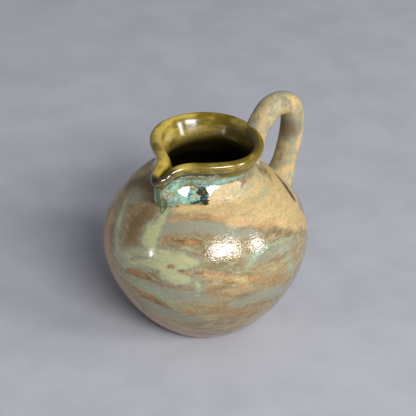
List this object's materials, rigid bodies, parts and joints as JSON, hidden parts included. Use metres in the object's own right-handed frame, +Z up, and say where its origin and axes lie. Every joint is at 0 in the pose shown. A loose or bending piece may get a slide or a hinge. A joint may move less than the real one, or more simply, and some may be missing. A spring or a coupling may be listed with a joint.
{
  "type": "pouring jug",
  "caption": "Small round-bellied stoneware pouring jug with a pinched spout, rolled lip and high loop handle.",
  "frame": {"origin": "middle of the foot on the plane it stands on, on the axis of the belly", "axes": "+Z up the jug's axis, +X towards the loop handle, spout 203 degrees round from +X"},
  "size_m": [0.1065, 0.1016, 0.1132],
  "materials": {
    "stoneware": "unglazed fired clay, matt and slightly gritty",
    "body_glaze": "glossy sand, sage and brown glaze in soft overlapping patches",
    "handle_glaze": "satin ochre glaze",
    "olive_glaze": "high-gloss olive gold liner glaze",
    "run_glaze": "thick glossy sage glaze run"
  },
  "bodies": {
    "root": {"thrown_body": "stoneware", "spouted_neck": "stoneware", "foot_ring": "stoneware", "loop_handle": "stoneware", "upper_joint_wad": "handle_glaze", "lower_joint_wad": "handle_glaze", "handle_glaze": "handle_glaze", "body_glaze": "body_glaze", "rim_glaze": "olive_glaze", "liner_glaze": "olive_glaze", "spout_glaze_run": "run_glaze"}
  },
  "joints": []
}
